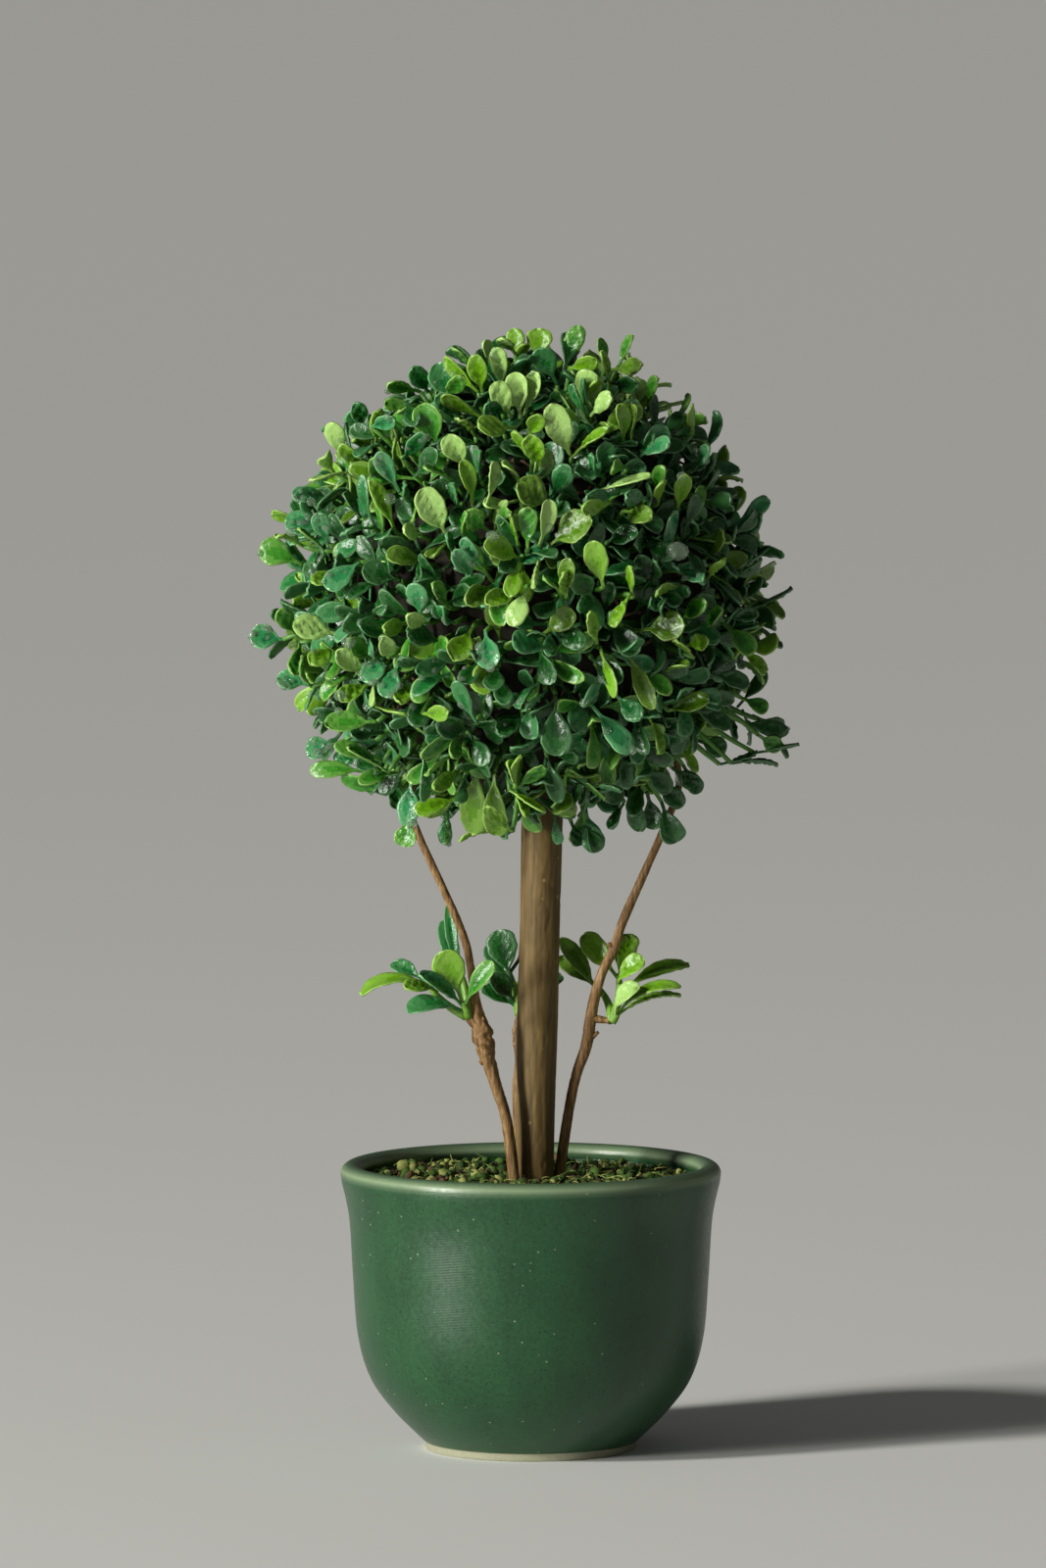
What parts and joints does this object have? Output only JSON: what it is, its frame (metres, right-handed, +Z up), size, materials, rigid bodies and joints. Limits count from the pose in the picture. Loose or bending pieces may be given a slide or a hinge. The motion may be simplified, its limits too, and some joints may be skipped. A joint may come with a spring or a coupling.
{
  "type": "artificial box topiary ball",
  "caption": "Small artificial box topiary: a clipped ball of plastic leaves on a wooden stick trunk with thin side stems, standing in a round green glazed ceramic pot.",
  "frame": {"origin": "on the pot's axis at the underside of its foot ring, which is the middle of the bounding box's bottom to within about a millimetre", "axes": "+Z up the pot's axis, -Y towards the front of the plant, +X to the right seen from the front"},
  "size_m": [0.1047, 0.0977, 0.2128],
  "materials": {
    "green_glaze": "satin",
    "dyed_moss": "matte",
    "trunk_wood": "matte",
    "stem_bark": "matte",
    "sprig_leaves": "satin",
    "ball_leaves": "satin"
  },
  "bodies": {
    "root": {"pot": "green_glaze", "moss_fill": "dyed_moss", "trunk": "trunk_wood", "left_stem": "stem_bark", "right_stem": "stem_bark", "rear_stem": "stem_bark", "left_sprig": "sprig_leaves", "right_sprig": "sprig_leaves", "rear_sprig": "sprig_leaves", "leaf_ball": "ball_leaves"}
  },
  "joints": []
}
